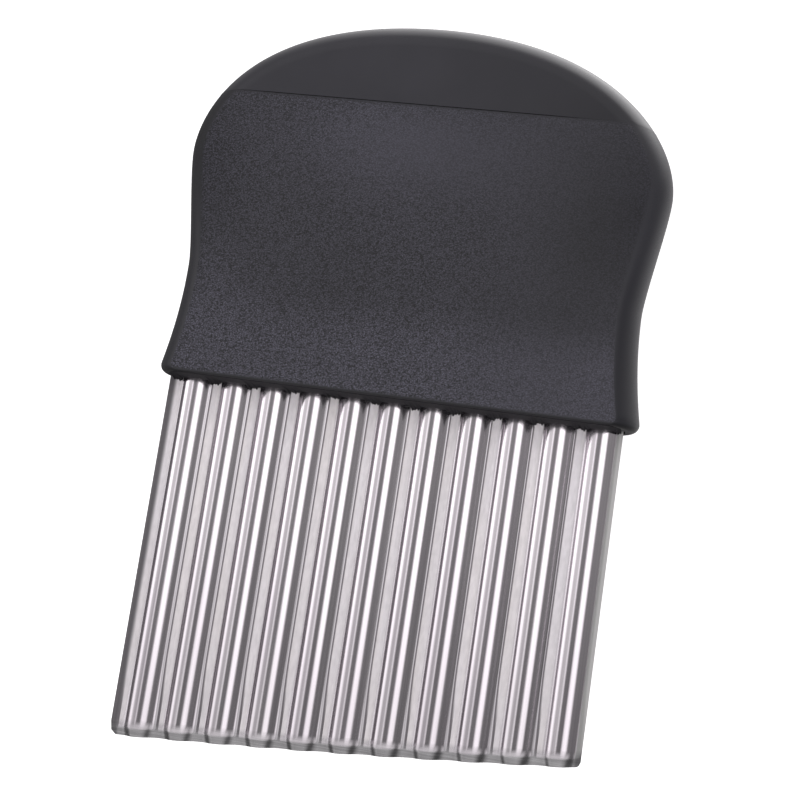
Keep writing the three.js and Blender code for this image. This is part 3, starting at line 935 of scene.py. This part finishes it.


# %% [markdown]
# The press has rubbed the crests of the steel bright and left a dull strip in each trough. The strip
# narrows towards the ground edge and stops short of it. On its right it has a dark border and a grey
# line, and the flank on its left gets painted shade: a dark reflection painted into its tone. Stripes
# set in space would have to be moved when the wave changes. Each zone here is a window on the numbers
# that the points carry, so it follows.

# %% Zones of the steel
FLANK_TURN = 0.05
RIGHT_SHIFT = 0.10
TAPER_SHIFT = 0.06
DULL_TOP = (0.15, 0.20)
DULL_FOOT = (0.2, 0.8)
BORDER = (0.145, 0.205, 0.015)
GREY_LINE = (0.21, 0.29, 0.02)
DARK_FLANK_FROM = (0.10, 0.22)
DARK_FLANK_TO = (0.44, 0.36)
DARK_FLANK_LEAN = (-0.2, -0.35)


def steel_zones(tree):
    """Zones from 0 to 1. The height in the wave is raised a little on the right flank and near the edge,
    which makes the dull strip narrower there."""
    labels = ("crest", "leaning", "ground", "above", "taper", "rim", "last")
    crest, leaning, ground, above, taper, rim, last = (attribute(tree, label) for label in labels)
    right = ranged(tree, leaning, -FLANK_TURN, FLANK_TURN)
    height = total(tree, crest, product(tree, right, RIGHT_SHIFT), product(tree, taper, TAPER_SHIFT))
    low = ranged(tree, height, *DULL_TOP, 1.0, 0.0)
    # Painted shade: the lower part of one flank gets a darker tone, a dark reflection painted into the
    # steel.
    lower_flank = product(tree, ranged(tree, crest, *DARK_FLANK_FROM), ranged(tree, crest, *DARK_FLANK_TO))
    return {
        "dull": product(tree, low, ranged(tree, above, *DULL_FOOT)),
        "border": product(tree, soft_window(tree, height, *BORDER), right),
        "line": product(tree, soft_window(tree, height, *GREY_LINE), right),
        "painted_dark_flank": product(tree, lower_flank, ranged(tree, leaning, *DARK_FLANK_LEAN)),
        "ground": ground,
        "last": last,
        "rim": rim,
    }


print("zones of the steel ready")


# %% [markdown]
# The tones of the steel are close to each other: a faintly warm grey for the dull strips, a bright one
# for the polished rest, and darker greys in the narrow zones. Fine streaks run along the waves, and on
# the ground strip fine lines run along the edge. The dull strips scatter light, so they are rough and
# only partly metallic. One shader with blended sockets keeps all this on one closed sheet, where a
# material per zone would leave hard borders.

# %% Blade steel
STREAKS = (1500, 12, 1500)
EDGE_LINES = (30, 5000, 30)
BROAD = (300, 25, 300)
MARKS = (1400, 500, 1400)
DULL_TONES = ((0.955, 0.918, 0.945), (0.965, 0.922, 0.93))
DULL_MOTTLE = (0.87, 1.03)
BRIGHT_TONES = ((0.83, 0.77, 0.82), (0.90, 0.85, 0.885))
BRIGHT_STREAKS = (0.90, 1.08)
GROUND_TONES = ((0.22, 0.215, 0.22), (0.37, 0.365, 0.37))
ZONE_TONES = (
    ("border", 0.9, (0.12, 0.11, 0.12)),
    ("line", 0.8, (0.30, 0.29, 0.30)),
    # The dark flank below is painted shade, a dark reflection painted into the tone.
    ("painted_dark_flank", 0.45, (0.30, 0.28, 0.30)),
    ("last", 0.9, (0.54, 0.54, 0.53)),
    ("rim", 0.9, (0.24, 0.23, 0.24)),
)
# Painted shade towards the cutting edge: where it starts and how dark the tone gets there.
PAINTED_SHADE_FALL = (-62.0, -10.0)
PAINTED_SHADE_AT_EDGE = 0.89
ROUGH_BRIGHT = 0.13
ROUGH_DULL = 0.76
ROUGH_GROUND = 0.15
ROUGH_STREAKS = (-0.03, 0.05)
METAL_DULL = 0.35
STREAK_DEPTH = 0.006


def steel_tone(tree, place, zones, streaks, lines):
    """Bright and dull tones blended by zone, darkened in the narrow zones, and darkened slowly towards
    the edge by painted shade, a fall-off of light painted into the tone. The ground strip has its own
    tones."""
    broad = noise(tree, place, BROAD, 2)
    mottle = product(tree, total(tree, streaks, noise(tree, place, MARKS, 3)), 0.5)
    dull = colour_blend(tree, varied(tree, broad, span=NOISE_CORE), *DULL_TONES)
    dull = scaled(tree, dull, varied(tree, mottle, *DULL_MOTTLE, NOISE_CORE))
    bright = colour_blend(tree, varied(tree, broad), *BRIGHT_TONES)
    bright = scaled(tree, bright, varied(tree, streaks, *BRIGHT_STREAKS))
    tone = colour_blend(tree, zones["dull"], bright, dull)
    for label, share, colour in ZONE_TONES:
        tone = colour_blend(tree, product(tree, zones[label], share), tone, colour)
    # Painted shade: the tone falls slowly towards the cutting edge, as the light falls off there.
    _, y, _ = axes(tree, place)
    fall = [lip_y + height * MM for height in PAINTED_SHADE_FALL]
    tone = scaled(tree, tone, ranged(tree, y, *fall, PAINTED_SHADE_AT_EDGE, 1.0))
    ground = colour_blend(tree, varied(tree, lines), *GROUND_TONES)
    return colour_blend(tree, zones["ground"], tone, ground)


def make_blade_steel():
    """One metal shader whose tone, gloss and relief follow the zones."""
    material, tree, shader, place = new_finish("blade_steel")
    zones = steel_zones(tree)
    streaks = noise(tree, place, STREAKS, 4)
    lines = noise(tree, place, EDGE_LINES, 3)
    tree.links.new(steel_tone(tree, place, zones, streaks, lines), shader.inputs["Base Color"])
    sides = combine(tree, "MAXIMUM", zones["last"], zones["rim"])
    matt = combine(tree, "MAXIMUM", zones["dull"], sides)
    rough = total(
        tree,
        ranged(tree, matt, 0, 1, ROUGH_BRIGHT, ROUGH_DULL),
        ranged(tree, zones["ground"], 0, 1, 0.0, ROUGH_GROUND),
        varied(tree, streaks, *ROUGH_STREAKS),
    )
    tree.links.new(rough, shader.inputs["Roughness"])
    tree.links.new(ranged(tree, zones["dull"], 0, 1, 1.0, METAL_DULL), shader.inputs["Metallic"])
    add_bump(tree, shader, total(tree, streaks, product(tree, lines, zones["ground"])), STREAK_DEPTH)
    return material


dress(blade, make_blade_steel())


# %% [markdown]
# The handle body is hard black plastic with a fine leathery grain from the mould: rounded cells a third
# of a millimetre wide with narrow valleys. Real relief would need millions of faces, so cells of a
# Voronoi pattern, bent by a little noise and wider than high, give it as bump. Tops are paler than
# valleys. The zones noted on the points make the walls smooth, paint light and shade into the tone of
# some places on the faces and walls, darken the lip's edge with painted shade, and make some places
# duller.

# %% Grained black
BENDING = (1500, 1500, 1500)
BEND = 1.6
CELLS = (2700, 3700, 3200)
CELL_SPAN = (0.1, 0.75)
FINE = (4200, 5800, 5000)
CLOUD = (45, 45, 45)
SPECK_SWING = 0.35
SPECK_MIDDLE = 0.95
SPECK_SPAN = (-0.9, 1.1)
SPECK_POWER = 1.4
GRAIN_TONES = ((0.0013, 0.0012, 0.0013), (0.0887, 0.0858, 0.1153))
WALL_TONES = ((0.0154, 0.0149, 0.0198), (0.0181, 0.0176, 0.0231))
LIGHT_AND_SHADE_TONE = (0.65, 2.05)
CLOUD_TONE = 0.1
LIP_PAINTED_SHADE = 0.25
ROUGH_WALL = 0.36
ROUGH_GRAIN = 0.46
ROUGH_FINE = 0.14
ROUGH_WORN = 0.25
GRAIN_DEPTH = 0.06


def moulded_cells(tree, place):
    """Rounded cells, 1 in their middle and 0 in the valleys between them, bent by noise."""
    shifted = tree.nodes.new("ShaderNodeVectorMath")
    shifted.operation = "MULTIPLY_ADD"
    tree.links.new(noise(tree, place, BENDING, 2), shifted.inputs[0])
    shifted.inputs[1].default_value = (BEND, BEND, BEND)
    tree.links.new(finer(tree, place, CELLS), shifted.inputs[2])
    cells = tree.nodes.new("ShaderNodeTexVoronoi")
    cells.inputs["Scale"].default_value = 1.0
    tree.links.new(shifted.outputs["Vector"], cells.inputs["Vector"])
    return ranged(tree, cells.outputs["Distance"], *CELL_SPAN, 1, 0)


def make_grained_black():
    """Cells and fine noise together give the relief. The same height, swung about its middle by bite and
    raised to a power, blends the tones, so that pale specks stand out more than dark ones."""
    material, tree, shader, place = new_finish("grained_black")
    labels = ("grain", "lip", "painted_light_and_shade", "wall_light_and_shade", "worn", "bite")
    grain, lip, painted_light_and_shade, wall_light_and_shade, worn, bite = (attribute(tree, label) for label in labels)
    fine = noise(tree, place, FINE, 2)
    cloud = noise(tree, place, CLOUD, 3)
    relief = total(tree, moulded_cells(tree, place), fine)
    specks = total(tree, relief, varied(tree, fine, -SPECK_SWING, SPECK_SWING, NOISE_CORE))
    specks = product(tree, combine(tree, "SUBTRACT", specks, SPECK_MIDDLE), bite)
    share = combine(tree, "POWER", ranged(tree, specks, *SPECK_SPAN), SPECK_POWER)
    grained = colour_blend(tree, share, *GRAIN_TONES)
    clouded = varied(tree, cloud, -CLOUD_TONE, CLOUD_TONE)
    # Painted light and shade: the grained faces and the smooth walls get a paler or darker tone by place.
    paler = total(tree, ranged(tree, painted_light_and_shade, 0, 1, *LIGHT_AND_SHADE_TONE), clouded)
    smooth = colour_blend(tree, cloud, *WALL_TONES)
    tone = colour_blend(tree, grain, scaled(tree, smooth, wall_light_and_shade), scaled(tree, grained, paler))
    # Painted shade: the downward-facing rounded edge of the lip is darkened, where shade falls under it.
    tone = scaled(tree, tone, ranged(tree, lip, 0, 1, 1.0, LIP_PAINTED_SHADE))
    tree.links.new(tone, shader.inputs["Base Color"])
    rough = total(
        tree,
        ranged(tree, grain, 0, 1, ROUGH_WALL, ROUGH_GRAIN),
        varied(tree, fine, 0.0, ROUGH_FINE),
        product(tree, worn, ROUGH_WORN),
    )
    tree.links.new(rough, shader.inputs["Roughness"])
    add_bump(tree, shader, product(tree, relief, grain), GRAIN_DEPTH)
    return material


dress(body, make_grained_black())


# %% [markdown]
# The cap comes from a polished part of the mould, so it is the same black without the grain: satin, with
# faint handling marks in the gloss, a slow change of tone, and painted shade that darkens it towards the
# right. It could share the body's material with the grain turned off, but a short one of its own is
# easier to read and to change.

# %% Smooth black
CAP_CLOUD = (60, 60, 60)
CAP_MARKS = (160, 160, 160)
CAP_TONES = ((0.0285, 0.0277, 0.0345), (0.0345, 0.0335, 0.0415))
CAP_SHADE_FROM = 0.0
CAP_SHADE_TO = 40.0
CAP_PAINTED_SHADE = 0.58
CAP_ROUGH = (0.28, 0.32)


def make_smooth_black():
    """Cloudy black darkened towards the right by painted shade, with marks that change the gloss a
    little.
    """
    material, tree, shader, place = new_finish("smooth_black")
    cloud = noise(tree, place, CAP_CLOUD, 3)
    marks = noise(tree, place, CAP_MARKS, 2)
    x, _, _ = axes(tree, place)
    tone = colour_blend(tree, varied(tree, cloud), *CAP_TONES)
    # Painted shade: the tone falls towards the right side of the cap.
    tone = scaled(tree, tone, ranged(tree, x, CAP_SHADE_FROM * MM, CAP_SHADE_TO * MM, 1.0, CAP_PAINTED_SHADE))
    tree.links.new(tone, shader.inputs["Base Color"])
    tree.links.new(varied(tree, marks, *CAP_ROUGH), shader.inputs["Roughness"])
    return material


dress(cap, make_smooth_black())


# %% [markdown]
# The jaws that hold the tang are dull black inside the handle, the flash under the lip is torn plastic
# without gloss, and the pins are plain drawn wire. Jaws and pins keep the shape of their solids. The
# three finishes differ only in their noise, tones and gloss, so one function makes them all.

# %% Jaws, flash and pins
def make_plain(name, fineness, detail, tones, rough):
    """Noise that blends two tones and two grades of gloss."""
    material, tree, shader, place = new_finish(name)
    pattern = noise(tree, place, fineness, detail)
    tree.links.new(colour_blend(tree, varied(tree, pattern), *tones), shader.inputs["Base Color"])
    tree.links.new(varied(tree, pattern, *rough), shader.inputs["Roughness"])
    return material, tree, shader, pattern


def make_jaw_black():
    """Dull black with a fine, slightly raised roughness."""
    tones = ((0.010, 0.010, 0.011), (0.022, 0.021, 0.023))
    material, tree, shader, fine = make_plain("jaw_black", (1800, 1800, 1800), 3, tones, (0.5, 0.7))
    add_bump(tree, shader, fine, 0.03)
    return material


def make_flash_black():
    """Torn, dull plastic without gloss, drawn out along the blade."""
    tones = ((0.008, 0.008, 0.009), (0.030, 0.029, 0.033))
    material, tree, shader, torn = make_plain("flash_black", (2600, 900, 2600), 3, tones, (0.6, 0.8))
    shader.inputs["Specular IOR Level"].default_value = 0.08
    add_bump(tree, shader, torn, 0.05)
    return material


def make_pin_steel():
    """Drawn wire: streaks along the pin."""
    tones = ((0.55, 0.55, 0.56), (0.72, 0.72, 0.73))
    material, _, shader, _ = make_plain("pin_steel", (2500, 2500, 40), 2, tones, (0.25, 0.4))
    shader.inputs["Metallic"].default_value = 1.0
    return material


dress(flash, make_flash_black())
jaw_black = make_jaw_black()
pin_steel = make_pin_steel()
for label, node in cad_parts.items():
    if label.startswith("tang_jaw"):
        dress(node, jaw_black)
    if label.startswith("tang_pin"):
        dress(node, pin_steel)


# %% [markdown]
# The floor is a plain pale sheet, as in a small photo studio. It is stage and not part of the object.
# A white floor would light the steel from below and wash out its dark lines. So the paper is matt and
# grey-white, doesn't show in reflections, and only the camera sees a glow on it.

# %% Floor
FLOOR_REACH = 3.0
FLOOR_DROP = 0.2
FLOOR_GLOW = 0.85
FLOOR_FIBRES = (400, 400, 400)
FLOOR_TONES = ((0.68, 0.68, 0.68), (0.72, 0.72, 0.72))


def make_floor_paper():
    """Matt grey-white paper with a glow that only the camera sees, as on a sheet lit from behind."""
    material, tree, shader, place = new_finish("floor_paper")
    fibres = noise(tree, place, FLOOR_FIBRES, 2)
    tree.links.new(colour_blend(tree, fibres, *FLOOR_TONES), shader.inputs["Base Color"])
    shader.inputs["Roughness"].default_value = 0.9
    shader.inputs["Emission Color"].default_value = (1, 1, 1, 1)
    seen = tree.nodes.new("ShaderNodeLightPath").outputs["Is Camera Ray"]
    tree.links.new(product(tree, seen, FLOOR_GLOW), shader.inputs["Emission Strength"])
    return material


corner_signs = np.array([(-1, -1, 0), (1, -1, 0), (1, 1, 0), (-1, 1, 0)], float)
floor_mesh = bpy.data.meshes.new("floor")
floor_mesh.from_pydata(corner_signs * FLOOR_REACH, [], [(0, 1, 2, 3)])
floor = bpy.data.objects.new("floor", floor_mesh)
floor.location.z = -FLOOR_DROP * MM
floor.visible_glossy = False
dress(floor, make_floor_paper())
bpy.context.scene.collection.objects.link(floor)
print("floor", 2 * FLOOR_REACH, "m wide")


# %% [markdown]
# The steel mirrors the studio: a bright soft box on each side gives the white lines beside each crest,
# and the dark middle overhead gives the dark line between them. Area lights could stand for the boxes.
# A world whose light depends on the direction alone does the same with less noise, and every box is a
# window on an angle. That angle is measured from straight up towards the right, in degrees. Other
# windows are on the X, Y and Z parts of the direction.

# %% Boxes and glows
SOFTBOX = 1.12
RIGHT_BOX = (8.5, 44, 6)
LEFT_BOX = (-87, -62, 6)
BOX_LENGTH = (-0.9, 0.45, 0.15)
SHADE = 0.325
SHADE_BAND = (-63, -24, 4)
STRIP = 0.40
STRIP_BAND = (-33, -25, 3)
FAR_LIGHT = 0.5
FAR_RISE = (0.20, 0.45)
NEAR_LIGHT = 0.95
NEAR_RISE = (-0.20, -0.45)
ENDS_ABOVE = (0.15, 0.45)
BACK_GLOW = 2.35
BACK_FAR = (0.42, 0.72)
BACK_RIGHT = (-0.55, 0.15, 0.12, 1.0)
BACK_LOW = (0.30, 0.02)
SIDE_GLOW = 0.65
SIDE_LEAN = (80, 140)
SIDE_NEAR = (-0.45, -0.1)
SIDE_LOW = (0.1, -0.2)


def box_light(tree, lean, y):
    """Two wide soft boxes, a dim shade between them and a paler strip in the shade."""
    right = soft_window(tree, lean, *RIGHT_BOX)
    left = soft_window(tree, lean, *LEFT_BOX)
    shade = product(tree, soft_window(tree, lean, *SHADE_BAND), SHADE)
    strip = product(tree, soft_window(tree, lean, *STRIP_BAND), STRIP)
    boxes = total(tree, right, left, shade, strip)
    return product(tree, boxes, soft_window(tree, y, *BOX_LENGTH), SOFTBOX)


def end_light(tree, y, z):
    """Paler light from the far and the near side, above the floor."""
    far = product(tree, ranged(tree, y, *FAR_RISE), FAR_LIGHT)
    near = product(tree, ranged(tree, y, *NEAR_RISE), NEAR_LIGHT)
    return product(tree, total(tree, far, near), ranged(tree, z, *ENDS_ABOVE))


def low_glow(tree, lean, x, y, z):
    """A low glow behind the dome, stronger on the right, and a fainter one low on the right side."""
    behind = product(tree, ranged(tree, y, *BACK_FAR), ranged(tree, x, *BACK_RIGHT))
    behind = product(tree, behind, ranged(tree, z, *BACK_LOW, 0.0, BACK_GLOW))
    beside = product(tree, ranged(tree, lean, *SIDE_LEAN), ranged(tree, y, *SIDE_NEAR))
    beside = product(tree, beside, ranged(tree, z, *SIDE_LOW, 0.0, SIDE_GLOW))
    return combine(tree, "MAXIMUM", behind, beside)


print("boxes and glows ready")


# %% [markdown]
# Matt plastic should not feel each box: in a real studio many walls even out the light that it scatters.
# So rays that leave a matt surface see a soft light from above, mirror rays see the boxes, and the
# camera sees plain white. That is simpler than adding walls and cards round the object.

# %% Studio light
FILL = 0.18
RISE_TO_FAR = (-0.12, 0.08, 0.88, 1.25)
FALL_BEHIND = (0.14, 0.3, 0.0, 0.25)
SOFT_HEIGHT = (0.1, 0.9)
SOFT_TOP = 0.98
SOFT_FILL = 0.12
LIGHT_COLOUR = (1.0, 0.985, 1.0, 1.0)


def mirror_light(tree, direction):
    """What mirror rays see: boxes or ends, whichever is brighter, and a fill, all brighter towards the
    far side than near the viewer, and the low glows."""
    x, y, z = axes(tree, direction)
    lean = product(tree, combine(tree, "ARCTAN2", x, z), float(180 / np.pi))
    light = combine(tree, "MAXIMUM", box_light(tree, lean, y), end_light(tree, y, z))
    slope = combine(tree, "SUBTRACT", ranged(tree, y, *RISE_TO_FAR), ranged(tree, y, *FALL_BEHIND))
    return total(tree, product(tree, total(tree, light, FILL), slope), low_glow(tree, lean, x, y, z))


def make_studio():
    """Light by direction: the boxes for mirror rays, a soft light for matt surfaces, white for the
    camera."""
    world = bpy.data.worlds.new("studio")
    tree = node_tree(world)
    direction = tree.nodes.new("ShaderNodeTexCoord").outputs["Generated"]
    _, _, z = axes(tree, direction)
    path = tree.nodes.new("ShaderNodeLightPath")
    matt = path.outputs["Is Diffuse Ray"]
    seen = path.outputs["Is Camera Ray"]
    soft = total(tree, ranged(tree, z, *SOFT_HEIGHT, 0.0, SOFT_TOP), SOFT_FILL)
    light = product(tree, mirror_light(tree, direction), combine(tree, "SUBTRACT", 1.0, matt))
    light = total(tree, light, product(tree, soft, matt))
    sky = tree.nodes.new("ShaderNodeBackground")
    sky.inputs["Color"].default_value = LIGHT_COLOUR
    tree.links.new(combine(tree, "MAXIMUM", light, seen), sky.inputs["Strength"])
    output = tree.nodes.new("ShaderNodeOutputWorld")
    tree.links.new(sky.outputs["Background"], output.inputs["Surface"])
    return world


bpy.context.scene.world = make_studio()
bpy.context.scene.view_settings.view_transform = "Standard"
print("studio light ready")
